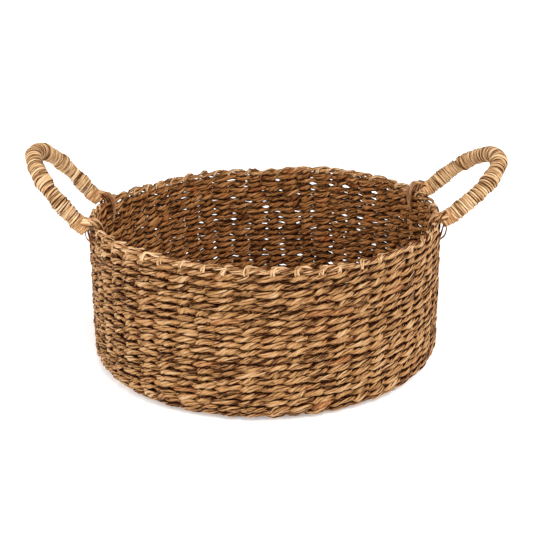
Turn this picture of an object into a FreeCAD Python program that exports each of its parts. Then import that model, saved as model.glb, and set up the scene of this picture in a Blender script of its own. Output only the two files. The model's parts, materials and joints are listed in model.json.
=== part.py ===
import FreeCAD, Part
import math
import os
from FreeCAD import Vector

# Low round basket twined from seagrass, with two wrapped loop handles.
# Frame: millimetres, +Z up, origin at the centre of the underside of the base.
# +X points from the left handle to the right handle.

# ---- driving dimensions ----

rim_radius = 185.0  # outside of the wall at the rim
foot_radius = 188.5  # outside of the wall just above its bottom corner
wall_height = 154.5  # top of the rim border
weave_thickness = 9.2  # weft, stake, weft
corner_radius = 12.0  # bend of the stakes from base to wall, at their centre line

stake_count = 54
stake_radius = 1.5
eye_clearance = 0.3  # between a stake and the weave round it

corner_courses = 3
straight_courses = 18
course_gap = 0.4  # between one course and the next
course_edge_thickness = 7.2  # a course is thinner at its two edges than at its middle

border_half_height = 3.3  # the rim border is an oval ring
fold_radius = 1.2  # strand of a folded stake end
fold_leg = 3.0  # straight part of a fold, down each side of the border
trim_clearance = 0.3  # between trim and the weave under it

centre_zone_radius = 58.0  # base weave round 18 stakes
middle_zone_radius = 110.0  # base weave round 36 stakes, and outside it 54
centre_stake_start = 12.0  # the first stakes start here

handle_length = 89.0  # hinge line to the middle of the crown's thickness, along the handle
handle_half_width = 54.0  # middle of the handle to the middle of a leg
left_handle_lean = 49.0  # degrees above level, as it stands at rest
right_handle_lean = 36.0
hinge_inset = 12.5  # the hinge line is this far inside the rim's outside radius
hinge_rise = 3.5  # and this far above the top of the border
handle_drop = 6.0  # the handle's plane lies this far below the hinge line when it is level
wrap_radius = 8.7
wrap_start = 12.0  # bare neck of the core between the hinge line and the wrap
core_radius = 4.4
core_clearance = 0.3  # between core and wrap
neck_radius = 2.3
neck_elbow = 6.0  # the neck leaves the knuckle level, and slants down to the core from here
knuckle_half_length = 8.5  # cross-piece of the core, held by the lashing

lashing_radius = 1.4  # strand
lashing_half_spacing = 6.0  # each foot has two loops, one each side of the neck
lashing_course = 19  # the course that the loops pass through
lashing_bend = 3.0  # bend at the bottom of a loop
lashing_arch_rise = 2.6  # a loop's straight sides end this far above the border

# ---- sizes worked out from them ----

half_thickness = weave_thickness / 2
rim_middle_radius = rim_radius - half_thickness
foot_middle_radius = foot_radius - half_thickness
corner_centre_radius = foot_middle_radius - corner_radius
corner_top = half_thickness + corner_radius
wall_slope = (foot_radius - rim_radius) / (wall_height - corner_top)
wall_lean = math.atan(wall_slope)
border_bottom = wall_height - 2 * border_half_height
course_pitch = (border_bottom - corner_top) / straight_courses
eye_radius = stake_radius + eye_clearance
stake_pitch = 360.0 / stake_count
stake_angles = [stake_pitch * (k + 0.5) for k in range(stake_count)]
hinge_x = rim_radius - hinge_inset
hinge_height = wall_height + hinge_rise
lashing_arch_height = wall_height + lashing_arch_rise
lashing_height = corner_top + course_pitch * (lashing_course - corner_courses - 0.5)
lashed_angles = [
    angle
    for angle in stake_angles
    if abs(abs(rim_middle_radius * math.sin(math.radians(angle))) - handle_half_width) < stake_radius * 2
]

up = Vector(0, 0, 1)
along_x = Vector(1, 0, 0)
along_y = Vector(0, 1, 0)
origin = Vector(0, 0, 0)


def section_point(radius, height):
    """A point of a section drawn in the X-Z plane."""
    return Vector(radius, 0, height)


def middle_radius(height):
    """The radius of the stakes' centre line in the wall at a height."""
    return foot_middle_radius - (height - corner_top) * wall_slope


def revolved(edges):
    """A ring from its closed section."""
    return Part.Face(Part.Wire(edges)).revolve(origin, up, 360)


def pipe(edges, radius):
    """A round rod along a path of tangent lines and arcs."""
    path = Part.Wire(edges)
    start = edges[0].firstVertex().Point
    direction = edges[0].tangentAt(edges[0].FirstParameter)
    section = Part.Face(Part.Wire(Part.makeCircle(radius, start, direction)))
    rod = path.makePipe(section)
    return rod if rod.ShapeType == "Solid" else Part.Solid(rod.Shells[0])


def arc(centre, radius, first, last):
    """An arc in the X-Z plane, its angles in degrees from +X towards +Z."""
    points = []
    for angle in (first, (first + last) / 2, last):
        turn = math.radians(angle)
        points.append(centre + section_point(radius * math.cos(turn), radius * math.sin(turn)))
    return Part.Arc(*points).toShape()


def turned(shape, angle):
    """A copy turned about the basket's axis."""
    copy = shape.copy()
    copy.rotate(origin, up, angle)
    return copy


# ---- stakes ----

corner_centre = section_point(corner_centre_radius, corner_top)
bend_end_angle = math.degrees(wall_lean)


def base_run(start_radius):
    """The level run of a stake's centre line, under the floor of the basket."""
    start = section_point(start_radius, half_thickness)
    return Part.makeLine(start, section_point(corner_centre_radius, half_thickness))


def corner_run():
    """The bend of a stake's centre line from the base to the wall."""
    return arc(corner_centre, corner_radius, -90.0, bend_end_angle)


def wall_run(end_height):
    """The leaning run of a stake's centre line up the wall."""
    bend_end = corner_run().lastVertex(True).Point
    end = bend_end + section_point(-math.sin(wall_lean), math.cos(wall_lean)).multiply(
        (end_height - bend_end.z) / math.cos(wall_lean)
    )
    return Part.makeLine(bend_end, end)


def make_stakes(start_radius, first):
    """Every third stake, from a start radius in the base to just under the rim border."""
    path = [base_run(start_radius), corner_run(), wall_run(border_bottom - course_gap)]
    stake = pipe(path, stake_radius)
    return Part.makeCompound([turned(stake, angle) for angle in stake_angles[first::3]])


def eyes(runs, angles):
    """The channels that the stakes leave in the weave, along some runs of their centre line."""
    channel = pipe(runs, eye_radius)
    return Part.makeCompound([turned(channel, angle) for angle in angles])


# ---- weave ----


def make_base_zone(inner_radius, outer_radius, firsts):
    """One zone of the flat base weave, worked round one, two or three thirds of the stakes."""
    zone = Part.makeCylinder(outer_radius, weave_thickness)
    if inner_radius > 0:
        zone = zone.cut(Part.makeCylinder(inner_radius, weave_thickness))
    for first in firsts:
        start = max(inner_radius - course_gap, centre_stake_start - eye_clearance)
        zone = zone.cut(eyes([base_run(start)], stake_angles[first::3]))
    return zone


def make_corner_course(index):
    """A course on the bottom corner, a sector of the bend revolved about the axis."""
    sweep = 90.0 / corner_courses
    gap = math.degrees(course_gap / corner_radius) / 2
    low = -90.0 + sweep * index + gap
    high = -90.0 + sweep * (index + 1) - gap
    outer = arc(corner_centre, corner_radius + half_thickness, low, high)
    inner = arc(corner_centre, corner_radius - half_thickness, low, high)
    top = Part.makeLine(inner.lastVertex(True).Point, outer.lastVertex(True).Point)
    bottom = Part.makeLine(inner.firstVertex(True).Point, outer.firstVertex(True).Point)
    ring = revolved([bottom, outer, top, inner])
    return ring.cut(eyes([corner_run()], stake_angles))


def make_straight_course(index):
    """A course of the wall, a ring with a swollen outside and inside."""
    low = corner_top + course_pitch * index + course_gap / 2
    high = corner_top + course_pitch * (index + 1) - course_gap / 2
    middle = (low + high) / 2
    radius = middle_radius(middle)
    edge = course_edge_thickness / 2
    outer = Part.Arc(
        section_point(radius + edge, low),
        section_point(radius + half_thickness, middle),
        section_point(radius + edge, high),
    ).toShape()
    inner = Part.Arc(
        section_point(radius - edge, low),
        section_point(radius - half_thickness, middle),
        section_point(radius - edge, high),
    ).toShape()
    top = Part.makeLine(section_point(radius - edge, high), section_point(radius + edge, high))
    bottom = Part.makeLine(section_point(radius - edge, low), section_point(radius + edge, low))
    ring = revolved([bottom, outer, top, inner])
    return ring.cut(eyes([corner_run(), wall_run(wall_height)], stake_angles))


# ---- rim ----

border_centre = section_point(rim_middle_radius, wall_height - border_half_height)


def make_rim_border():
    """The closing course: an oval ring on top of the wall."""
    oval = Part.Ellipse(
        border_centre + along_x * half_thickness,
        border_centre + up * border_half_height,
        border_centre,
    )
    return revolved([oval.toShape()])


def make_rim_folds():
    """The end of every stake, bent over the border, except where a lashing takes its place."""
    reach = half_thickness + trim_clearance + fold_radius
    outside = border_centre + along_x * reach
    inside = border_centre - along_x * reach
    path = [
        Part.makeLine(outside - up * fold_leg, outside),
        arc(border_centre, reach, 0.0, 180.0),
        Part.makeLine(inside, inside - up * fold_leg),
    ]
    fold = pipe(path, fold_radius)
    free = [angle for angle in stake_angles if angle not in lashed_angles]
    return Part.makeCompound([turned(fold, angle) for angle in free])


# ---- handles, drawn level, with the hinge line on Y and the crown towards +X ----


def handle_path(start):
    """One leg, the round crown and the other leg, from a distance out from the hinge line."""
    leg_end = handle_length - handle_half_width
    corners = [
        Vector(start, -handle_half_width, -handle_drop),
        Vector(leg_end, -handle_half_width, -handle_drop),
        Vector(leg_end, handle_half_width, -handle_drop),
        Vector(start, handle_half_width, -handle_drop),
    ]
    crown = Part.Arc(corners[1], Vector(handle_length, 0, -handle_drop), corners[2]).toShape()
    return [Part.makeLine(corners[0], corners[1]), crown, Part.makeLine(corners[2], corners[3])]


def make_wrap():
    """The coiled cord, as a sleeve round the core."""
    sleeve = pipe(handle_path(wrap_start), wrap_radius)
    return sleeve.cut(pipe(handle_path(wrap_start - 1), core_radius + core_clearance))


def make_core():
    """The bent bundle, with a thin bent neck and a cross-piece at each foot."""
    core = pipe(handle_path(wrap_start), core_radius)
    slant = Vector(wrap_start + 1 - neck_elbow, 0, -handle_drop)
    for side in (-1, 1):
        foot = Vector(0, side * handle_half_width, 0)
        elbow = foot + along_x * neck_elbow
        neck = [
            Part.makeCylinder(neck_radius, neck_elbow, foot, along_x),
            Part.makeSphere(neck_radius, elbow),
            Part.makeCylinder(neck_radius, slant.Length, elbow, slant),
        ]
        knuckle_start = foot - along_y * knuckle_half_length
        knuckle = Part.makeCylinder(neck_radius, 2 * knuckle_half_length, knuckle_start, along_y)
        core = core.fuse([*neck, knuckle])
    return core.removeSplitter()


def placed(shape, lean, side):
    """A handle's piece at its lean, on the right side of the basket or turned to the left."""
    copy = shape.copy()
    copy.rotate(origin, along_y, -lean)
    copy.translate(Vector(hinge_x, 0, hinge_height))
    return copy if side == "right" else turned(copy, 180)


# ---- lashings ----


def wall_x(radius, y):
    """Where a circle round the axis crosses a plane of constant y."""
    return math.sqrt(radius**2 - y**2)


def make_lashing_loop(y):
    """One closed loop of strand: over the rim, down both sides and through the weave."""
    reach = trim_clearance + lashing_radius
    outer_radius = middle_radius(lashing_height) + half_thickness
    outer = wall_x(outer_radius, y) + reach
    inner = wall_x(rim_middle_radius - half_thickness, y) - reach
    half = (outer - inner) / 2
    top = Vector((outer + inner) / 2, 0, lashing_arch_height)
    bottom = lashing_height + lashing_bend
    outer_bend = section_point(outer - lashing_bend, bottom)
    inner_bend = section_point(inner + lashing_bend, bottom)
    path = [
        Part.makeLine(section_point(outer, bottom), section_point(outer, lashing_arch_height)),
        arc(top, half, 0.0, 180.0),
        Part.makeLine(section_point(inner, lashing_arch_height), section_point(inner, bottom)),
        arc(inner_bend, lashing_bend, 180.0, 270.0),
        Part.makeLine(
            section_point(inner + lashing_bend, lashing_height),
            section_point(outer - lashing_bend, lashing_height),
        ),
        arc(outer_bend, lashing_bend, 270.0, 360.0),
    ]
    loop = pipe(path, lashing_radius)
    loop.translate(along_y * y)
    return loop


def foot_ys(foot):
    """Where the two loops of a foot lie, one each side of the handle's neck."""
    return [foot * handle_half_width + side * lashing_half_spacing for side in (-1, 1)]


def make_lashing(foot, side):
    """The two loops at one handle foot."""
    loops = Part.makeCompound([make_lashing_loop(y) for y in foot_ys(foot)])
    return loops if side == "right" else turned(loops, 180)


def lashing_passages():
    """The holes through the weave that the loops use."""
    radius = lashing_radius + trim_clearance
    holes = []
    for foot in (-1, 1):
        for y in foot_ys(foot):
            hole = Part.makeCylinder(radius, 4 * weave_thickness, Vector(0, y, lashing_height), along_x)
            hole.translate(along_x * (wall_x(rim_middle_radius, y) - 2 * weave_thickness))
            holes += [hole, turned(hole, 180)]
    return Part.makeCompound(holes)


# ---- the assembly ----

parts = {
    "base_weave_centre": make_base_zone(0.0, centre_zone_radius - course_gap, [0]),
    "base_weave_middle": make_base_zone(centre_zone_radius, middle_zone_radius - course_gap, [0, 1]),
    "base_weave_outer": make_base_zone(middle_zone_radius, corner_centre_radius - course_gap, [0, 1, 2]),
    "stakes_from_centre": make_stakes(centre_stake_start, 0),
    "stakes_from_middle": make_stakes(centre_zone_radius, 1),
    "stakes_from_outer": make_stakes(middle_zone_radius, 2),
    "rim_border": make_rim_border(),
    "rim_folds": make_rim_folds(),
}

for index in range(corner_courses):
    parts[f"wall_row_{index + 1:02d}"] = make_corner_course(index)
for index in range(straight_courses):
    number = corner_courses + index + 1
    course = make_straight_course(index)
    if number == lashing_course:
        course = course.cut(lashing_passages())
    parts[f"wall_row_{number:02d}"] = course

core = make_core()
wrap = make_wrap()
for side, lean in (("left", left_handle_lean), ("right", right_handle_lean)):
    parts[f"{side}_handle_core"] = placed(core, lean, side)
    parts[f"{side}_handle_wrap"] = placed(wrap, lean, side)
    # turning a foot to the left side swaps front and back
    front = -1 if side == "right" else 1
    parts[f"{side}_front_lashing"] = make_lashing(front, side)
    parts[f"{side}_back_lashing"] = make_lashing(-front, side)

os.makedirs("parts", exist_ok=True)
for name, shape in parts.items():
    shape.exportStep(f"parts/{name}.step")
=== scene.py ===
import json
import math
from collections import namedtuple

import bpy
import numpy as np
from mathutils import Matrix, Vector


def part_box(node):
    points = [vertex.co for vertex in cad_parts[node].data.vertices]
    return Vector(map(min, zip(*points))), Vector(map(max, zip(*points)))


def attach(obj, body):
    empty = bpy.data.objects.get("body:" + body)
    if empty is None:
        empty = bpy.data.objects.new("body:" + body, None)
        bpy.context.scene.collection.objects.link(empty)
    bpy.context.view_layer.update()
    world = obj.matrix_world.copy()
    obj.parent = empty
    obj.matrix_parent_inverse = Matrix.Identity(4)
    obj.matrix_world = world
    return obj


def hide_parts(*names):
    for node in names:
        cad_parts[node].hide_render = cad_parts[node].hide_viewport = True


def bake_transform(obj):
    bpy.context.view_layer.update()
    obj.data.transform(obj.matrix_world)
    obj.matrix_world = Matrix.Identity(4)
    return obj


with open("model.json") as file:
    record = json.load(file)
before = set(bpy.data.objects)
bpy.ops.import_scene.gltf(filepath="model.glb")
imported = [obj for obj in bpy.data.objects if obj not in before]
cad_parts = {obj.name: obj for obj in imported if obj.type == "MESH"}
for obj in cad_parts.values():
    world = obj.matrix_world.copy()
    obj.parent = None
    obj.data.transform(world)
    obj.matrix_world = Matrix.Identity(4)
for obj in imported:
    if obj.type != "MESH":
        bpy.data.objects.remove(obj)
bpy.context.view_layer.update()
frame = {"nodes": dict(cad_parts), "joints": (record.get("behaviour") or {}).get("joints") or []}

# ---- sizes taken from the CAD frame, in metres ----


def corners(node):
    """The lowest and highest corner of a CAD node."""
    return [np.array(corner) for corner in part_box(node)]


mm = 0.001
rows = sorted(name for name in frame["nodes"] if name.startswith("wall_row_"))
corner_rows = 3
course_gap = 0.0004
half_thickness = corners("base_weave_outer")[1][2] / 2  # of the weave
rim_low, rim_high = corners("rim_border")
first_low, first_high = corners(rows[corner_rows])  # the first straight course
rim_top = rim_high[2]
rim_radius = rim_high[0] - half_thickness  # of the weave's middle, like every radius below
foot_radius = first_high[0] - half_thickness
corner_top = first_low[2] - course_gap / 2
bend_radius = corner_top - half_thickness
centre_radius = foot_radius - bend_radius
zone_radii = (corners("base_weave_centre")[1][0], corners("base_weave_middle")[1][0])
stake_count = 54
stake_pitch = 2 * math.pi / stake_count
stake_radius = 0.0015

wrap_radius = 0.0087
wrap_start = 0.012  # from the hinge line to the first turn of the wrap
handle_drop = 0.006  # the handle's plane lies this far under its hinge line when it is level
foot_sag = 0.0045  # the soft legs droop this far at their feet

Handle = namedtuple("Handle", "hinge outward upward length half_width")
handles = {}
for joint in frame["joints"]:
    body, hinge = joint["child"], np.array(joint["pos_m"])
    side = 1 if hinge[0] > 0 else -1
    low, high = corners(f"{body}_wrap")
    reach_x = (high[0] if side > 0 else -low[0]) - abs(hinge[0]) - wrap_radius
    reach_z = high[2] - hinge[2] - wrap_radius
    length = math.sqrt(reach_x**2 + reach_z**2 - handle_drop**2)
    lean = math.atan2(reach_z, reach_x) + math.atan2(handle_drop, length)
    outward = np.array([side * math.cos(lean), 0, math.sin(lean)])
    upward = np.array([-side * math.sin(lean), 0, math.cos(lean)])
    handles[body] = Handle(hinge, outward, upward, length, high[1] - wrap_radius)

# ---- the middle surface of the weave ----
# s is the run along it: from the centre of the base out, round the bottom corner and up the wall.

wall_run = math.hypot(rim_top - corner_top, foot_radius - rim_radius)
wall_lean = math.atan2(foot_radius - rim_radius, rim_top - corner_top)
corner_run = bend_radius * math.pi / 2
bend_end = centre_radius + corner_run
stake_end = bend_end + (rim_low[2] - corner_top) - 0.001  # just under the border
rim_s = bend_end + (rim_top - corner_top)  # the top of the border


def middle(s):
    """Radius, height and upward direction (radial, vertical) of the middle surface at s."""
    turn = np.clip((s - centre_radius) / bend_radius, 0, math.pi / 2)
    climb = np.clip(s - bend_end, 0, None)
    radius = np.minimum(s, centre_radius) + bend_radius * np.sin(turn) - climb * math.sin(wall_lean)
    height = half_thickness + bend_radius * (1 - np.cos(turn)) + climb * math.cos(wall_lean)
    return radius, height, np.cos(turn), np.sin(turn)


def wall_share(s):
    """0 at the foot of the wall, 1 at its top."""
    return np.clip((s - bend_end) / wall_run, 0, 1)


# ---- the uneven shape of a hand-made basket ----

end_to_end = 0.0013  # how far the rim rises at both sides
corner_to_corner = 0.0026  # how far it rises at the back right and the front left
back_dip = 0.0026  # the back of the rim dips between two rises
back_dip_angle = math.radians(84)
back_dip_waves = 6.3  # so many would go round the rim
right_bulge = 0.0020  # how much wider the wall is to the right


def smooth_ring(count, waves, rng):
    """Smooth noise round a ring, of unit spread, with about this many waves."""
    pitch = np.fft.rfftfreq(count) * count
    spectrum = rng.normal(size=pitch.size) + 1j * rng.normal(size=pitch.size)
    spectrum *= np.exp(-((pitch / waves) ** 2)) * (pitch > 0)
    wave = np.fft.irfft(spectrum, count)
    return wave / wave.std()


shape_rng = np.random.default_rng(5)
wave_count = 720
wave_angles = np.linspace(0, 2 * math.pi, wave_count, endpoint=False)
rim_wave = smooth_ring(wave_count, 7, shape_rng) * 0.0004
side_wave = smooth_ring(wave_count, 6, shape_rng) * 0.0008


def round_wave(wave, angle):
    """The value of a wave round the basket at an angle."""
    return np.interp(angle % (2 * math.pi), wave_angles, wave, period=2 * math.pi)


def rim_rise(angle):
    """How far the rim stands above its mean height."""
    rise = end_to_end * np.cos(2 * angle) + corner_to_corner * np.sin(2 * angle)
    rise = rise + round_wave(rim_wave, angle)
    from_dip = angle % (2 * math.pi) - back_dip_angle
    at_back = np.clip(np.sin(angle), 0, 1) ** 4
    return rise - back_dip * np.cos(back_dip_waves * from_dip) * at_back


def wall_bulge(angle):
    """How far the wall stands out from its mean radius."""
    return right_bulge * (0.5 + 0.5 * np.cos(angle)) + round_wave(side_wave, angle)


def on_surface(s, angle, out):
    """Points a distance out from the middle surface, and their upward direction."""
    s, angle, out = np.broadcast_arrays(s, angle, out)
    radius, height, up_r, up_z = middle(s)
    r = radius + out * up_z
    z = height - out * up_r
    share = np.clip((z - corner_top) / (rim_top - corner_top), 0, 1)
    r = r + wall_bulge(angle) * np.sin(share * math.pi / 2)
    z = z + rim_rise(angle) * share
    cos, sin = np.cos(angle), np.sin(angle)
    return np.stack([r * cos, r * sin, z], -1), np.stack([up_r * cos, up_r * sin, up_z], -1)


def ripple_wave(lobes, size):
    """One wave of the ripple: its lobes, size, turn for each metre that it climbs, and phase."""
    climb = shape_rng.uniform(40, 110) * shape_rng.choice((-1, 1))
    return lobes, size, climb, shape_rng.uniform(0, 6.3)


# the size of each wave, by its number of lobes round the basket
ripple_sizes = {4: 0.0004, 7: 0.0004, 12: 0.0003, 17: 0.0003, 23: 0.0003, 29: 0.0003, 37: 0.0002}
ripple_waves = [ripple_wave(lobes, size) for lobes, size in ripple_sizes.items()]


def ripple(s, angle):
    """How far the courses are pushed up or down together, by their neighbours below."""
    total = 0.0
    for lobes, size, climb, phase in ripple_waves:
        total = total + size * np.sin(lobes * angle + climb * s + phase)
    return total


# ---- paths and strands ----


def unit(vectors):
    return vectors / np.linalg.norm(vectors, axis=-1, keepdims=True)


def ease(x):
    """From 0 to 1, slow at both ends."""
    x = np.clip(x, 0, 1)
    return x * x * (3 - 2 * x)


def directions(path, closed=False):
    """The way ahead at every point of a path."""
    if closed:
        return unit(np.roll(path, -1, 0) - np.roll(path, 1, 0))
    return unit(np.gradient(path, axis=0))


def evenly(path, count):
    """So many points at even distances along a path, and its length."""
    length = np.concatenate([[0], np.cumsum(np.linalg.norm(np.diff(path, axis=0), axis=1))])
    even = np.linspace(0, length[-1], count)
    return np.stack([np.interp(even, length, path[:, k]) for k in range(3)], -1), length[-1]


def curve_through(points, count):
    """An even, smooth path through a few points."""
    points = np.array(points, float)
    padded = np.vstack([2 * points[0] - points[1], points, 2 * points[-1] - points[-2]])
    t = np.linspace(0, len(points) - 1 - 1e-9, 24 * len(points))
    i = t.astype(int)
    f = (t - i)[:, None]
    a, b, c, d = (padded[i + k] for k in range(4))
    path = 2 * b + (c - a) * f + (2 * a - 5 * b + 4 * c - d) * f**2 + (3 * b - a - 3 * c + d) * f**3
    return evenly(0.5 * path, count)[0]


def spokes(spin, first, second):
    """Directions at some angles between two axes that are square to each other."""
    return np.cos(spin)[:, None] * first + np.sin(spin)[:, None] * second


def blunt_ends(count, run, blunt):
    """A factor that narrows a strand over a run of points at each end, and leaves it blunt."""
    i = np.arange(count)
    return np.minimum(1, np.minimum(i, i[::-1]) / run + blunt)


def rough_skin(length, around, rng, ridges=0.085, grain=0.035):
    """The ridges of the blades that a strand is twisted from, as a factor of its radius."""
    v = np.linspace(0, 2 * math.pi, around, endpoint=False)[None, :]
    u = np.linspace(0, 2 * math.pi, length, endpoint=False)[:, None]
    skin = np.ones((length, around))
    for folds, share in ((2, 0.6), (3, 1.0), (4, 0.7), (5, 0.6)):
        turns = rng.integers(-length // 26 - 2, length // 26 + 3)
        skin += ridges * share * np.cos(folds * v + turns * u + rng.uniform(0, 6.3))
    noise = rng.normal(size=(length, around))
    spectrum = np.fft.rfft2(noise)
    along = np.abs(np.fft.fftfreq(length))[:, None]
    across = np.fft.rfftfreq(around)[None, :]
    spectrum *= np.exp(-((along / 0.07) ** 2) - (across / 0.4) ** 2)
    noise = np.fft.irfft2(spectrum, (length, around))
    return skin + grain * noise / noise.std()


edge_roundness = 0.8  # both under 1, so that a strand's section is a little square
face_roundness = 0.65
edge_shade_sharpness = 6  # the higher, the narrower the painted shade along its edges


def tube(
    path, across, width, depth, around, rng,
    closed=False, light=0.0, red=0.0, inner=0.0, twist=60.0, edge=0.0, skin=None,
):
    """A closed skin round a path: its points, quads, end caps, and the fibre and tone of each point.
    width and depth are half sizes along `across` and square to it. light and red tint it, inner says how
    far inside the basket it faces and paints shade there, and edge paints shade along its edges, both alike
    or each by its own."""
    count = len(path)
    ahead = directions(path, closed)
    side = unit(across - (across * ahead).sum(-1, keepdims=True) * ahead)
    other = np.cross(ahead, side)
    v = np.linspace(0, 2 * math.pi, around, endpoint=False)
    cos, sin = np.cos(v), np.sin(v)
    if skin is None:
        skin = rough_skin(count, around, rng)
    width = np.broadcast_to(width, count)[:, None]
    depth = np.broadcast_to(depth, count)[:, None]
    x = width * np.sign(cos) * np.abs(cos) ** edge_roundness * skin
    y = depth * np.sign(sin) * np.abs(sin) ** face_roundness * skin
    points = path[:, None, :] + side[:, None, :] * x[..., None] + other[:, None, :] * y[..., None]

    steps = np.linalg.norm(np.diff(path, axis=0), axis=1)
    length = np.concatenate([[0], np.cumsum(steps)])[:, None]
    turn = v[None, :] + length * twist
    scale = (width + depth) / 2
    start = rng.uniform(0, 50)
    fibre = np.stack(np.broadcast_arrays(length + start, scale * np.cos(turn), scale * np.sin(turn)), -1)

    tints = [np.broadcast_to(value, count)[:, None] for value in (light, red, inner)]
    tone = np.stack([np.broadcast_to(tint, x.shape) for tint in tints], -1)
    edges = edge if isinstance(edge, tuple) else (edge, edge)
    edge_shades = [np.broadcast_to(value, count)[:, None] for value in edges]
    # painted shade along the strand's two edges
    tone[..., 0] -= np.abs(cos) ** edge_shade_sharpness * np.where(cos > 0, *edge_shades)

    index = np.arange(count * around).reshape(count, around)
    ring = np.vstack([index, index[:1]]) if closed else index
    a, b = ring[:-1], ring[1:]
    quads = np.stack([a, np.roll(a, -1, 1), np.roll(b, -1, 1), b], -1).reshape(-1, 4)
    caps = [] if closed else [index[0][::-1], index[-1]]
    return points.reshape(-1, 3), quads, caps, fibre.reshape(-1, 3), tone.reshape(-1, 3)


def make_piece(name, tubes, material):
    """One mesh from several closed tubes."""
    start = 0
    points, quads, caps, fibre, tone = [], [], [], [], []
    for p, q, c, f, t in tubes:
        points.append(p)
        quads.append(q + start)
        caps += [cap + start for cap in c]
        fibre.append(f)
        tone.append(t)
        start += len(p)
    points, quads = np.concatenate(points), np.concatenate(quads)
    loops = np.concatenate([quads.ravel(), *caps]).astype(np.int32)
    sizes = np.concatenate([np.full(len(quads), 4), [len(cap) for cap in caps]]).astype(np.int32)
    starts = np.concatenate([[0], np.cumsum(sizes)[:-1]]).astype(np.int32)
    mesh = bpy.data.meshes.new(name)
    mesh.vertices.add(len(points))
    mesh.vertices.foreach_set("co", points.astype(np.float32).ravel())
    mesh.loops.add(len(loops))
    mesh.loops.foreach_set("vertex_index", loops)
    mesh.polygons.add(len(sizes))
    mesh.polygons.foreach_set("loop_start", starts)
    mesh.update(calc_edges=True)
    mesh.polygons.foreach_set("use_smooth", np.ones(len(sizes), bool))
    for label, values in (("fibre", np.concatenate(fibre)), ("tone", np.concatenate(tone))):
        layer = mesh.attributes.new(label, "FLOAT_VECTOR", "POINT")
        layer.data.foreach_set("vector", values.astype(np.float32).ravel())
    mesh.materials.append(material)
    mesh.update()
    piece = bpy.data.objects.new(name, mesh)
    bpy.context.scene.collection.objects.link(piece)
    return piece


# ---- stakes ----

stake_rng = np.random.default_rng(11)
stake_shift = stake_rng.normal(0, 0.0085, stake_count)  # radians, at the rim
stake_bow = stake_rng.normal(0, 0.0075, stake_count)  # radians, half way up the wall
zone_shift_run = 0.014  # the stakes move to their places of the next zone in this run
inner_shift_start = 0.010  # it starts this far inside the middle zone's inner edge
outer_shift_start = 0.006  # and this far inside its outer edge
crossing_radius = 0.013  # of the middle of the base, where the first stakes cross as nine rods
crossing_bend = 0.009  # outside it they bend to their places in this run
rod_gap = 0.0031  # from one crossing rod to the next
over_basket = np.array([0, 0, 0.3])  # the broad sides of the stakes face this place


def stake_offset(s):
    """How far each stake has strayed from its even place round the wall, at s."""
    share = wall_share(s)
    return stake_shift * share + stake_bow * math.sin(math.pi * share)


def stake_angle(k, s):
    """The azimuth of stake k along s. The stakes have even spaces in every zone of the base."""
    even = (k + 0.5) * stake_pitch
    spread = {0: -stake_pitch / 4, 1: stake_pitch / 4, 2: 0}[k % 3]
    inner, outer = zone_radii
    entering = 1 if k % 3 == 1 else ease((s - inner + inner_shift_start) / zone_shift_run)
    leaving = 1 - ease((s - outer + outer_shift_start) / zone_shift_run)
    share = wall_share(s)
    placed = even + spread * (entering * leaving)
    return placed + stake_shift[k] * share + stake_bow[k] * np.sin(math.pi * share)


def stake_run(k, start):
    """The centre line of stake k, from a start radius to its end under the border."""
    s = np.arange(start, stake_end, 0.003)
    return on_surface(s, stake_angle(k, s), 0.0)[0]


def crossing_half(k, heading, offset, lift):
    """Stake k from the middle of the base outwards, bent to its place from beside its neighbours."""
    outer = stake_run(k, crossing_radius + crossing_bend)
    along = np.array([math.cos(heading), math.sin(heading), 0])
    across = np.array([-math.sin(heading), math.cos(heading), 0])
    points = []
    for d in (0.0, 0.004, 0.008):
        height = half_thickness + lift * (1 - ease(d / crossing_radius))
        points.append(along * d + across * offset + np.array([0, 0, height]))
    inner = curve_through([*points, outer[0], outer[2]], 16)[:-4]
    return np.vstack([inner, outer[1:]])


def stake_tube(path):
    across = np.cross(directions(path), unit(path - over_basket))
    light = stake_rng.normal(-0.1, 0.1)
    return tube(path, across, stake_radius, stake_radius * 0.85, 8, stake_rng, light=light)


def make_centre_stakes(material):
    """Nine rods that cross in the middle, four over five. Each end is a stake."""
    rods = []
    end_step = math.pi / 9  # from one rod's end to the next one's
    for group, count, lift in ((0, 5, -stake_radius), (1, 4, stake_radius)):
        heading = stake_pitch / 2 + group * math.pi / 2
        for i in range(count):
            step = i - (count - 1) / 2
            ahead = round((heading + step * end_step) / stake_pitch - 0.5) % stake_count
            behind = round((heading + math.pi - step * end_step) / stake_pitch - 0.5) % stake_count
            plus = crossing_half(ahead, heading, step * rod_gap, lift)
            minus = crossing_half(behind, heading + math.pi, -step * rod_gap, lift)
            rods.append(stake_tube(np.vstack([minus[:0:-1], plus])))
    return make_piece("stakes_from_centre_grass", rods, material)


# ---- weave ----

weave_rng = np.random.default_rng(23)
strand_swing = 0.0029  # a strand's middle is this far out where it passes a stake
side_step = 0.0009  # it lies this much higher outside the stakes, and lower inside them
red_share = 0.05  # of the stitches are reddish
base_cover, corner_cover, wall_cover = 0.64, 0.48, 0.49  # a strand's height as a share of its course's
loose_fibre_count = 9  # on each course of the wall
floor_gap = 0.00005


def per_stake(values, u):
    """A value at each stake, blended smoothly between stakes."""
    low = np.floor(u).astype(int)
    share = 0.5 - 0.5 * np.cos(math.pi * (u - low))
    count = len(values)
    return values[low % count] * (1 - share) + values[(low + 1) % count] * share


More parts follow.
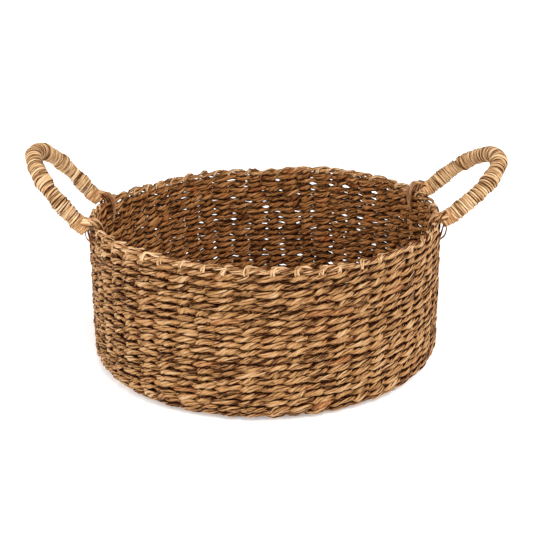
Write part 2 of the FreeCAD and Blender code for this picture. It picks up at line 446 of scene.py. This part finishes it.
def twined(
    s, stakes, first_angle, tall, thick, swing, slant, uneven, offsets, samples=12, blades=3, around=8
):
    """The two strands of one course at s, each of a few blades that turn slowly round one another.
    They pass in front of and behind the stakes in turn, and cross between them. tall and thick are a
    strand's height and depth, swing is how far it goes out and in, and slant how far it climbs or falls."""
    rng = weave_rng
    count = stakes * samples
    u = np.arange(count) / samples  # in stakes

    def uneven_along(mean, spread, low=-math.inf, high=math.inf):
        """A random value at every stake, blended along the course."""
        return per_stake(np.clip(rng.normal(mean, spread, stakes), low, high), u)

    step = 2 * math.pi / stakes
    cross = np.clip(rng.normal(0, 0.15 * uneven, stakes), -0.28, 0.28)  # a crossing's shift
    cross = cross[np.floor(u).astype(int) % stakes] * np.sin(math.pi * (u % 1)) ** 2
    angle = first_angle + step * (u + cross) + per_stake(offsets, u)
    drift = smooth_ring(count, 7, rng) * 0.00015 * uneven + ripple(s, angle) * wall_share(s)
    tubes = []
    for strand in (0, 1):
        lead = np.cos(math.pi * (u + strand))  # 1 in front of a stake, -1 behind one
        rise = np.sin(math.pi * (u + strand))
        rise = 0.4 * rise + 0.6 * np.arcsin(rise) * 2 / math.pi
        at_stake = lead**2
        size = uneven_along(1, 0.13 * uneven, 0.82, 1.3)
        lift = uneven_along(0, 0.0004 * uneven)
        push = uneven_along(0, 0.0004 * uneven, -0.0008, 0.0005)
        tilt = uneven_along(1, 0.9, -0.8, 2.6)
        out = swing * np.sign(lead) * np.abs(lead) ** 0.6 + push * np.abs(lead)
        fan = (bend_radius + out) / bend_radius if centre_radius < s < bend_end else 1.0
        climb = slant * rise * (0.5 + 0.5 * tilt)
        up = (climb + lift + drift + side_step * np.sign(lead) * np.abs(lead)) * fan
        height = tall * fan * size * (0.64 + 0.36 * at_stake**0.4)
        depth = thick * (1.2 - 0.2 * at_stake) * (0.85 + 0.15 * size)
        # painted shade: a strand is darker where it crosses between the stakes, in the gaps of the weave
        light = uneven_along(0, 0.08) + rng.normal(0, 0.03) - 0.16 * (1 - np.abs(lead))
        reddish = rng.random(stakes) < red_share
        red = per_stake(np.where(reddish, rng.uniform(0.2, 0.6, stakes), 0.0), u)
        winding = round(stakes * rng.uniform(0.55, 0.95))
        wander = smooth_ring(count, 40, rng) * 0.5
        for blade in range(blades):
            spin = 2 * math.pi * (blade / blades - winding * u / stakes) + wander
            own = uneven_along(1, 0.25, 0.5, 1.5)
            stray = uneven_along(0, 0.14)
            up_blade = up + height * (0.52 * np.cos(spin) + stray)
            out_blade = out + depth * 0.42 * np.sin(spin)
            path, upward = on_surface(s + up_blade, angle, out_blade)
            # painted shade along the blade's edges, heavier at its lower edge, where shade falls under it
            top_edge_shade = 0.7 + 1.8 * np.clip(np.cos(spin), 0, 1)
            low_edge_shade = 0.9 + 2.2 * np.clip(-np.cos(spin), 0, 1)
            # painted shade: the stretches that pass behind the stakes, inside the basket, get the inside
            # shade tint
            tubes.append(
                tube(
                    path, upward, height * 0.5 * own, depth * 0.62, around, rng, closed=True,
                    light=light + uneven_along(0, 0.10), red=red, inner=-out / swing,
                    twist=rng.uniform(30, 90), edge=(top_edge_shade, low_edge_shade),
                    skin=rough_skin(count, around, rng, 0.05, 0.05),
                )
            )
    return tubes


def loose_fibres(s, count):
    """Short thin fibres that stand off the outside of a course."""
    tubes = []
    t = np.linspace(0, 1, 9)
    for _ in range(count):
        angle = weave_rng.uniform(0, 2 * math.pi)
        run = weave_rng.uniform(0.005, 0.011) * weave_rng.choice((-1, 1))
        rise = weave_rng.normal(0, 0.0016)
        stand = weave_rng.uniform(0.001, 0.0035)
        path = on_surface(s + rise * t, angle + run * t / rim_radius, 0.0040 + stand * t**2)[0]
        wide = 0.0003 * (1.15 - t)
        across = np.zeros_like(path) + np.array([0, 0, 1.0])
        tubes.append(tube(path, across, wide, wide, 5, weave_rng, light=weave_rng.normal(0.35, 0.2)))
    return tubes


def clear_floor(tubes):
    """Nothing reaches below the surface that the basket stands on."""
    for points, *_ in tubes:
        points[:, 2] = np.maximum(points[:, 2], floor_gap)
    return tubes


def make_base_zone(node, start, end, stakes, first_angle, count, material):
    """The courses of one zone of the base, between two radii. They are finer near its centre."""
    pitch = (end - start) / count
    tubes = []
    for i in range(count):
        s = start + pitch * (i + 0.5)
        fine = min(1.0, 0.45 + s / 0.080)
        tubes += twined(
            s, stakes, first_angle, tall=pitch * base_cover, thick=0.0016 * fine,
            swing=stake_radius + 0.0014 * fine, slant=0.0013 * fine, uneven=0.8,
            offsets=np.zeros(stakes), samples=9, blades=2, around=6,
        )
    return make_piece(f"{node}_twine", clear_floor(tubes), material)


def make_wall_row(node, i, material):
    """Course i of the wall, from the bottom corner up."""
    if i < corner_rows:
        pitch = corner_run / corner_rows
        s = centre_radius + pitch * (i + 0.5)
        tall = pitch * corner_cover
    else:
        pitch = (rim_low[2] - corner_top) / (len(rows) - corner_rows)
        s = bend_end + pitch * (i - corner_rows + 0.5)
        tall = pitch * wall_cover
    tubes = twined(
        s, stake_count, stake_pitch / 2, tall=tall, thick=0.0017, swing=strand_swing, slant=0.0014,
        uneven=1.0, offsets=stake_offset(s),
    )
    tubes += loose_fibres(s, loose_fibre_count)
    return make_piece(f"{node}_twine", clear_floor(tubes), material)


# ---- rim ----

rim_rng = np.random.default_rng(31)
border_depth = 0.0036  # the border's middle lies this far under its top
border_lightness = 0.12
loose_end_share = 0.1


def rim_points(angle, local):
    """Points given as (along the rim, out, up from the top of the border)."""
    local = np.array(local)
    return on_surface(rim_s + local[:, 2], angle + local[:, 0] / rim_radius, local[:, 1])[0]


def make_rim_border(material):
    s = rim_s - border_depth
    tubes = twined(
        s, stake_count, stake_pitch / 2, tall=0.0026, thick=0.0015, swing=0.0022, slant=0.0013,
        uneven=1.0, offsets=stake_offset(s),
    )
    for *_, tone in tubes:
        tone[:, 0] += border_lightness
    return make_piece("rim_border_twine", tubes, material)


def is_lashed(k):
    """Whether a handle's foot takes the place of the end of stake k."""
    y = abs(math.sin((k + 0.5) * stake_pitch)) * rim_radius
    return abs(y - handles["left_handle"].half_width) < 2 * stake_radius


def fold_route(high, reach, out, lean):
    """Points of a stake's end in mm, as rim_points takes them: it comes out under the border, bends
    over it and lies along it before it is tucked in."""
    return np.array([
        (lean, 0.5, -10.0),
        (lean * 0.8, 2.4, -8.4),
        (lean * 0.4, out - 0.2, -6.2),
        (0.2, out - 0.1, -3.6),
        (0.8, out - 1.6, -0.8 + high * 0.5),
        (2.2, 1.0, 0.3 + high),
        (4.6, -0.6, 0.0 + high * 0.5),
        (reach * 0.7, -1.5, -1.2),
        (reach, -2.8, -3.2),
        (reach + 1.2, -3.4, -6.0),
        (reach + 1.6, -2.2, -8.4),
    ])


def fold_strand(angle, route, place):
    """One of the three strands of a stake's end, in the middle or to one side."""
    jitter = rim_rng.normal(0, 0.4, route.shape)
    mine = (route + jitter + np.array([place * 1.3, 0, 0])) * mm
    mine[4:7, 1] += place * 0.0007
    if rim_rng.random() < loose_end_share:
        mine[7:, 2] += np.array([0.002, 0.004, 0.007, 0.010])  # the end stands up
    path = curve_through(rim_points(angle, mine), 40)
    across = np.cross(directions(path), unit(path * np.array([1, 1, 0])))
    wide = rim_rng.uniform(0.6, 1.1) * mm * blunt_ends(40, 4, 0.25)
    light = rim_rng.normal(0.15, 0.2)
    return tube(path, across, wide, wide * 0.6, 8, rim_rng, light=light, inner=-0.5, edge=0.3)


def make_rim_folds(material):
    tubes = []
    angles = (np.arange(stake_count) + 0.5) * stake_pitch + stake_offset(rim_s)
    for k in range(stake_count):
        if is_lashed(k):
            continue
        high = rim_rng.uniform(-1.1, 0.3)
        reach = rim_rng.uniform(9, 17)
        out = rim_rng.uniform(3.4, 4.4)
        lean = rim_rng.uniform(-1.5, 1.5)
        route = fold_route(high, reach, out, lean)
        tubes += [fold_strand(angles[k], route, place) for place in (-1, 0, 1)]
    return make_piece("rim_folds_grass", tubes, material)


# ---- handles ----

wrap_pitch = 0.0048  # from one turn to the next
wrap_blades = 2
wrap_blade_half = 0.00130
turn_samples = 22
core_strands = 7  # one of them in the middle
core_spread = 0.0034  # from there to the middle of each other one
leg_samples = 19


def handle_line(body, count):
    """The handle's centre line, from its front foot over the crown to its back foot, and its length."""
    hinge, outward, upward, length, half_width = handles[body]
    leg_end = length - half_width
    leg = np.linspace(wrap_start, leg_end, leg_samples + 1)[:-1]
    turn = np.linspace(-math.pi / 2, math.pi / 2, 200)
    leg_back = np.linspace(leg_end, wrap_start, leg_samples + 1)[1:]
    beside = np.full(leg_samples, half_width)
    x = np.concatenate([leg, leg_end + half_width * np.cos(turn), leg_back])
    y = np.concatenate([-beside, half_width * np.sin(turn), beside])
    low = handle_drop + foot_sag * (1 - (x - wrap_start) / (length - wrap_start))
    path = hinge - low[:, None] * upward + x[:, None] * outward + y[:, None] * np.array([0, 1, 0])
    return evenly(path, count)


def make_wrap(body, material, seed):
    """A band of thin blades laid side by side, coiled round the handle from foot to foot."""
    rng = np.random.default_rng(seed)
    turns = round(handle_line(body, 400)[1] / wrap_pitch)
    line, _ = handle_line(body, turns * turn_samples + 1)
    ahead = directions(line)
    normal = handles[body].upward
    beside = np.cross(ahead, normal)
    t = np.arange(len(line)) / turn_samples  # in turns

    def uneven_turns(mean, spread, per_turn=1, limit=math.inf):
        """A random value at every turn, or more often, with straight stretches between them."""
        knots = np.arange(per_turn * (turns + 1) + 1) / per_turn
        return np.interp(t, knots, np.clip(rng.normal(mean, spread, len(knots)), -limit, limit))

    swell = uneven_turns(0, 0.0003)
    slide = uneven_turns(0, 0.0003)
    fade = ease(np.minimum(t, turns - t) / 1.2)
    tubes = []
    for blade in range(wrap_blades):
        stray = uneven_turns(0, 0.0003, 4)
        lift = uneven_turns(0, 0.0004, 4)
        spin = 2 * math.pi * (t + blade / wrap_blades) + uneven_turns(0, 0.15)
        radius = wrap_radius - 0.0013 + swell + lift + 0.0004 * np.sin(2 * math.pi * t / 7.3 + seed)
        path = line + spokes(spin, normal, beside) * radius[:, None]
        path = path + ahead * ((slide + stray) * fade)[:, None]
        wide = wrap_blade_half * (1 + uneven_turns(0, 0.22, limit=0.45))
        light = uneven_turns(0.08, 0.25, 4)
        tubes.append(
            tube(
                path, ahead, wide, wide * 0.85, 8, rng, light=light, inner=-0.5, twist=40.0, edge=1.3,
                skin=rough_skin(len(path), 8, rng, 0.08, 0.09),
            )
        )
    return make_piece(f"{body}_wrap_cord", tubes, material)


def make_core(body, material, seed):
    """The bundle inside the wrap, with its ends showing at the feet."""
    rng = np.random.default_rng(seed)
    line, _ = handle_line(body, 120)
    normal = handles[body].upward
    beside = np.cross(directions(line), normal)
    across = normal + np.zeros_like(line)
    tubes = []
    for i in range(core_strands):
        spin = 2 * math.pi * i / (core_strands - 1) + np.linspace(0, 2.0, len(line))
        r = 0.0 if i == core_strands - 1 else core_spread
        path = line + r * spokes(spin, normal, beside)
        light = rng.normal(-0.1, 0.15)
        tubes.append(tube(path, across, 0.0019, 0.0017, 8, rng, light=light, inner=-0.5))
    return make_piece(f"{body}_core_strands", tubes, material)


# ---- lashings, which hold the feet of the handles ----

Foot = namedtuple("Foot", "handle toe angle side end rng")  # end is -1 in front and 1 at the back


def foot_strand(foot, grip, local, wide, light, red, flat=0.62):
    """A strand of a lashing, from the handle to the wall, in mm. grip is (along the handle, Y, above it)
    near the wrap's end, and local is (Y, out, up) from the rim's top."""
    outward, normal = foot.handle.outward, foot.handle.upward
    start = [
        foot.toe + (outward * g[0] + np.array([0, g[1], 0]) + normal * g[2]) * mm
        - normal * (handle_drop + foot_sag)
        for g in grip
    ]
    spots = [(foot.side * p[0], p[1], p[2]) for p in local]  # the rim runs to -Y on the left
    path = curve_through([*start, *rim_points(foot.angle, np.array(spots) * mm)], 40)
    path = path + foot.rng.normal(0, 0.0001, 3)
    across = np.cross(directions(path), np.array([foot.side, 0, 0.15]))
    half_wide = wide * mm * blunt_ends(40, 3, 0.4)
    return tube(
        path, across, half_wide, half_wide * flat, 10, foot.rng, light=light, red=red, inner=-0.3, edge=0.9
    )


def inner_fan(foot):
    """Strands that spread over the rim and run down inside to one hole."""
    rng, tubes = foot.rng, []
    for i, y in enumerate((-4.6, -2.9, -1.1, 0.7, 2.4, 4.3)):
        deep = rng.uniform(24, 29)
        lift = 2.4 - abs(y) * 0.25 + rng.uniform(-0.4, 0.4)
        meet = y * 0.3 + rng.uniform(-0.8, 0.8)
        grip = [(20, y * 0.8, 3.0), (15, y * 0.9, 4.2)]
        local = [
            (y * 1.1, 3.2, 6.4 + lift * 0.3),
            (y * 1.25, -2.0, 4.6 + lift * 0.3),
            (y * 1.35, -6.2, -0.5),
            (y * 1.2, -7.0 - lift * 0.3, -8),
            (meet * 1.8, -6.4, -deep * 0.7),
            (meet, -3.8, -deep),
            (meet, 0.0, -deep - 2),
        ]
        wide = rng.uniform(0.6, 0.9)
        light = rng.normal(0.35 if i % 3 else -0.1, 0.12)
        tubes.append(foot_strand(foot, grip, local, wide, light, 0.6 if i % 2 else 0.1))
    return tubes


def outer_turns(foot):
    """Strands that run down outside and into the wall. One of them stands off it."""
    rng, tubes = foot.rng, []
    loose_turn = 0 if foot.end < 0 else 3
    for i, y in enumerate((-3.4, -1.2, 1.0, 3.0)):
        deep = rng.uniform(14, 21)
        loose = 3.5 if i == loose_turn else 0.0
        grip = [(18, y, -5.0), (14, y, -6.0)]
        local = [
            (y, 8.6, 0.5),
            (y * 1.1, 7.4 + loose, -6),
            (y * 0.9, 6.0 + loose * 0.9, -deep * 0.75),
            (y * 0.6, 4.4, -deep),
            (y * 0.5, 0.0, -deep - 1.5),
        ]
        wide = rng.uniform(0.8, 1.2)
        light = rng.normal(-0.1, 0.15)
        tubes.append(foot_strand(foot, grip, local, wide, light, 0.35 if i % 2 else 0.1))
    return tubes


def rim_bundle(foot):
    """The end of the handle's bundle, spread over the rim."""
    rng, tubes, count = foot.rng, [], 11
    for i in range(count):
        spot = 2 * math.pi * i / count
        y, above = 5.6 * math.cos(spot), 5.2 * math.sin(spot)
        grip = [(20, y * 0.7, above * 0.7), (15, y, above)]
        local = [
            (y * 1.15, 5.0 + above * 0.35, 4.0 + above * 0.55),
            (y * 1.25, 1.2 + above * 0.1, 1.6 + above * 0.3),
            (y * 1.3, -0.5, -2.5),
            (y * 1.25, 0.0, -8.0),
        ]
        wide = rng.uniform(1.3, 1.9)
        light = rng.normal(0.05, 0.25)
        tubes.append(foot_strand(foot, grip, local, wide, light, 0.0, 0.8))
    return tubes


def foot_coil(foot):
    """The last turns of the wrap, round the bundle where it bends."""
    rng, tubes, blades = foot.rng, [], 3
    outward, normal = foot.handle.outward, foot.handle.upward
    t = np.linspace(0, 1, 150)
    low = (handle_drop + foot_sag) * (0.86 + 0.14 * t)
    line = foot.toe + (0.002 + 0.014 * t)[:, None] * outward - low[:, None] * normal
    for blade in range(blades):
        spin = 2 * math.pi * (3.6 * t + blade / blades + rng.uniform(0, 0.1))
        size = 0.0068 + 0.0010 * t + rng.normal(0, 0.0002)
        path = line + size[:, None] * spokes(spin, normal, np.array([0, 1.0, 0]))
        path += (0.0004 * np.sin(spin * 0.37 + blade * 2))[:, None] * outward
        ends = np.minimum(1, np.minimum(t, 1 - t) / 0.04 + 0.2)
        half_wide = wrap_blade_half * (0.9 + 0.2 * rng.random()) * ends
        across = np.zeros_like(path) + outward
        light = rng.normal(0.1, 0.1)
        tubes.append(tube(path, across, half_wide, half_wide * 0.85, 8, rng, light=light, edge=1.3))
    return tubes


def make_lashing(node, body, end, material, seed):
    """The strands that hold one foot: from the wrap over the rim, down the wall and through it."""
    handle = handles[body]
    side = 1 if handle.hinge[0] > 0 else -1
    angle = math.atan2(end * handle.half_width, abs(handle.hinge[0]))
    if side < 0:
        angle = math.pi - angle
    toe = handle.hinge + np.array([0, end * handle.half_width, 0])
    foot = Foot(handle, toe, angle, side, end, np.random.default_rng(seed))
    tubes = inner_fan(foot) + outer_turns(foot) + rim_bundle(foot) + foot_coil(foot)
    piece = make_piece(f"{node}_strands", tubes, material)
    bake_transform(piece)
    return piece


# ---- materials ----

streak_scale = (80.0, 620.0, 620.0)  # per metre, along a strand and across it
fine_scale = (300.0, 2600.0, 2600.0)
patch_scale = (55.0, 320.0, 320.0)
streak_weight, fine_weight, patch_weight, light_weight = 2.0, 0.7, 0.8, 0.8
mid_position = 0.48
level_shift = 1.27  # the three noises together have a mean of 1.75, and this brings it to mid_position
red_tint = (0.38, 0.13, 0.045)
painted_inside_shade_tint = (0.92, 0.56, 0.24)  # painted shade: the inside of the basket, and a strand's stretches behind the stakes, are tinted darker and more orange


def grass(name, dark, mid, pale):
    """Dried grass: lengthwise fibres with pale and dark streaks, uneven tint from stitch to stitch."""
    material = bpy.data.materials.new(name)
    material.use_nodes = True
    tree = material.node_tree
    nodes, links = tree.nodes, tree.links
    nodes.clear()

    def node(kind, **settings):
        made = nodes.new(kind)
        for key, value in settings.items():
            setattr(made, key, value)
        return made

    def feed(socket, value):
        """Link a node's output to a socket, or set its number or colour."""
        if isinstance(value, (int, float)):
            socket.default_value = value
        elif isinstance(value, tuple):
            socket.default_value = (*value, 1.0)
        else:
            links.new(value, socket)

    def math_node(operation, *values, clamp=False):
        made = node("ShaderNodeMath", operation=operation, use_clamp=clamp)
        for socket, value in zip(made.inputs, values):
            feed(socket, value)
        return made.outputs[0]

    def noise(scale, detail):
        stretch = node("ShaderNodeVectorMath", operation="MULTIPLY")
        links.new(fibre.outputs["Vector"], stretch.inputs[0])
        stretch.inputs[1].default_value = scale
        texture = node("ShaderNodeTexNoise")
        texture.inputs["Scale"].default_value = 1.0
        texture.inputs["Detail"].default_value = detail
        texture.inputs["Roughness"].default_value = 0.6
        links.new(stretch.outputs[0], texture.inputs["Vector"])
        return texture.outputs["Fac"]

    def mix(factor, a, b, blend="MIX"):
        made = node("ShaderNodeMix", data_type="RGBA", blend_type=blend)
        for socket, value in ((made.inputs[0], factor), (made.inputs[6], a), (made.inputs[7], b)):
            feed(socket, value)
        return made.outputs[2]

    fibre = node("ShaderNodeAttribute", attribute_name="fibre")
    tone = node("ShaderNodeAttribute", attribute_name="tone")
    parts = node("ShaderNodeSeparateXYZ")
    links.new(tone.outputs["Vector"], parts.inputs[0])
    light, red, inner = parts.outputs

    streaks = noise(streak_scale, 4.0)
    fine = noise(fine_scale, 2.0)
    patches = noise(patch_scale, 2.0)
    level = math_node("MULTIPLY", streaks, streak_weight)
    for value, weight in ((fine, fine_weight), (patches, patch_weight), (light, light_weight)):
        level = math_node("ADD", level, math_node("MULTIPLY", value, weight))
    level = math_node("SUBTRACT", level, level_shift, clamp=True)

    ramp = node("ShaderNodeValToRGB")
    first, last = ramp.color_ramp.elements
    first.position, first.color = 0.0, (*dark, 1)
    last.position, last.color = 1.0, (*pale, 1)
    ramp.color_ramp.elements.new(mid_position).color = (*mid, 1)
    links.new(level, ramp.inputs[0])
    colour = mix(math_node("MULTIPLY", red, 0.8, clamp=True), ramp.outputs[0], red_tint)
    # painted shade: the parts that lie inside the basket are multiplied towards the inside shade tint
    shade = math_node("MULTIPLY_ADD", inner, 0.5, 0.5, clamp=True)
    colour = mix(math_node("MULTIPLY", shade, 0.55), colour, painted_inside_shade_tint, "MULTIPLY")

    surface = node("ShaderNodeBsdfPrincipled")
    links.new(colour, surface.inputs["Base Color"])
    surface.inputs["Specular IOR Level"].default_value = 0.07
    links.new(math_node("MULTIPLY_ADD", streaks, -0.25, 0.74), surface.inputs["Roughness"])
    bumps = node("ShaderNodeBump")
    bumps.inputs["Strength"].default_value = 0.5
    bumps.inputs["Distance"].default_value = 0.0006
    links.new(math_node("ADD", streaks, math_node("MULTIPLY", fine, 0.4)), bumps.inputs["Height"])
    links.new(bumps.outputs[0], surface.inputs["Normal"])
    output = node("ShaderNodeOutputMaterial")
    links.new(surface.outputs[0], output.inputs[0])
    return material


weave_grass = grass("weave_grass", (0.026, 0.004, 0.0004), (0.40, 0.203, 0.075), (0.55, 0.393, 0.238))
stake_grass = grass("stake_grass", (0.035, 0.008, 0.002), (0.20, 0.082, 0.024), (0.42, 0.24, 0.10))
rim_grass = grass("rim_grass", (0.060, 0.016, 0.003), (0.46, 0.255, 0.110), (0.74, 0.55, 0.35))
lashing_grass = grass("lashing_grass", (0.065, 0.017, 0.003), (0.47, 0.268, 0.122), (0.74, 0.55, 0.35))
core_grass = grass("core_grass", (0.065, 0.018, 0.004), (0.42, 0.22, 0.088), (0.74, 0.50, 0.27))
wrap_grass = grass("wrap_grass", (0.080, 0.024, 0.005), (0.52, 0.32, 0.155), (0.78, 0.60, 0.39))

# ---- the pieces, each in place of its CAD node ----


def stands_for(piece, nodes, body="basket"):
    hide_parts(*nodes)
    if body:
        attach(piece, body)


middle_start, outer_start = zone_radii
base_zones = (  # node, inner and outer radius, stakes, angle of the first one, courses
    ("base_weave_centre", 0.0125, middle_start, 18, stake_pitch / 2, 7),
    ("base_weave_middle", middle_start, outer_start, 36, stake_pitch / 4, 7),
    ("base_weave_outer", outer_start, centre_radius, 54, stake_pitch / 2, 8),
)
for node, *zone in base_zones:
    stands_for(make_base_zone(node, *zone, weave_grass), [node])
for i, node in enumerate(rows):
    stands_for(make_wall_row(node, i, weave_grass), [node])
stands_for(make_centre_stakes(stake_grass), ["stakes_from_centre"])
for node, first, start in (("stakes_from_middle", 1, middle_start), ("stakes_from_outer", 2, outer_start)):
    rods = [stake_tube(stake_run(k, start)) for k in range(first, stake_count, 3)]
    stands_for(make_piece(f"{node}_grass", rods, stake_grass), [node])
stands_for(make_rim_border(rim_grass), ["rim_border"])
stands_for(make_rim_folds(rim_grass), ["rim_folds"])
for number, body in enumerate(("left_handle", "right_handle")):
    stands_for(make_wrap(body, wrap_grass, 41 + number), [f"{body}_wrap"], body)
    stands_for(make_core(body, core_grass, 51 + number), [f"{body}_core"], body)
    for spot, (place, end) in enumerate((("front", -1), ("back", 1))):
        node = f"{body.split('_')[0]}_{place}_lashing"
        piece = make_lashing(node, body, end, lashing_grass, 61 + 2 * number + spot)
        stands_for(piece, [node], None)

# ---- floor, light and camera ----


def make_floor():
    """A wide pale floor, just under the basket. It glows a little, and so stays white all over."""
    mesh = bpy.data.meshes.new("floor")
    reach = 40.0
    square = [(-reach, -reach, 0), (reach, -reach, 0), (reach, reach, 0), (-reach, reach, 0)]
    mesh.from_pydata(square, [], [(0, 1, 2, 3)])
    floor = bpy.data.objects.new("floor", mesh)
    floor.location.z = -0.0005
    white = bpy.data.materials.new("floor_white")
    white.use_nodes = True
    surface = white.node_tree.nodes["Principled BSDF"].inputs
    surface["Base Color"].default_value = (0.9, 0.9, 0.9, 1)
    surface["Roughness"].default_value = 0.8
    surface["Emission Color"].default_value = (1, 1, 1, 1)
    surface["Emission Strength"].default_value = 0.3
    mesh.materials.append(white)
    bpy.context.scene.collection.objects.link(floor)


def make_sky():
    """A white studio, bright near the horizon and dimmer above."""
    world = bpy.data.worlds.new("studio")
    world.use_nodes = True
    nodes, links = world.node_tree.nodes, world.node_tree.links
    background = nodes["Background"].inputs
    background["Color"].default_value = (1, 1, 1, 1)
    heading = nodes.new("ShaderNodeTexCoord")
    split = nodes.new("ShaderNodeSeparateXYZ")
    fade = nodes.new("ShaderNodeMapRange")
    for label, value in (("From Min", 0.2), ("From Max", 0.55), ("To Min", 1.05), ("To Max", 0.3)):
        fade.inputs[label].default_value = value
    links.new(heading.outputs["Generated"], split.inputs[0])
    links.new(split.outputs[2], fade.inputs[0])
    links.new(fade.outputs[0], background["Strength"])
    bpy.context.scene.world = world
    bpy.context.scene.view_settings.view_transform = "Standard"


def soft_sun(name, place, strength, spread):
    """Light from a wide, far window in the direction of a place."""
    light = bpy.data.lights.new(name, "SUN")
    light.energy = strength
    light.angle = math.radians(spread)
    lamp = bpy.data.objects.new(name, light)
    lamp.location = place
    lamp.rotation_euler = (-Vector(place)).to_track_quat("-Z", "Y").to_euler()
    bpy.context.scene.collection.objects.link(lamp)


def place_camera():
    """The camera looks down on the basket from the front, from a little to the left."""
    focal = 920.4 / 533  # in frame widths
    distance = 1.0408
    above = math.radians(24.68)
    pitch = math.radians(20.11)
    yaw = math.radians(-0.96)
    roll = math.radians(-0.92)
    aside = 0.0182
    turned_by = math.radians(3.14)
    sensor_width = 36
    camera_data = bpy.data.cameras.new("camera")
    camera_data.sensor_width = sensor_width
    camera_data.lens = focal * sensor_width
    camera = bpy.data.objects.new("camera", camera_data)
    bpy.context.scene.collection.objects.link(camera)
    place = Vector((aside, -distance * math.cos(above), distance * math.sin(above)))
    look = Vector((math.sin(yaw) * math.cos(pitch), math.cos(yaw) * math.cos(pitch), -math.sin(pitch)))
    right = Vector((math.cos(yaw), -math.sin(yaw), 0))
    up = right.cross(look)
    side_on = right * math.cos(roll) + up * math.sin(roll)
    upright = up * math.cos(roll) - right * math.sin(roll)
    pose = Matrix.Identity(4)
    for i, axis in enumerate((side_on, upright, -look, place)):
        for j in range(3):
            pose[j][i] = axis[j]
    camera.matrix_world = Matrix.Rotation(-turned_by, 4, "Z") @ pose
    bpy.context.scene.camera = camera


make_floor()
make_sky()
soft_sun("key", (0.5, -1.1, 1.9), 2.0, 30)
soft_sun("left_fill", (-1.5, -0.6, 1.0), 1.8, 50)
soft_sun("right_fill", (1.5, -0.6, 1.0), 1.4, 50)
place_camera()
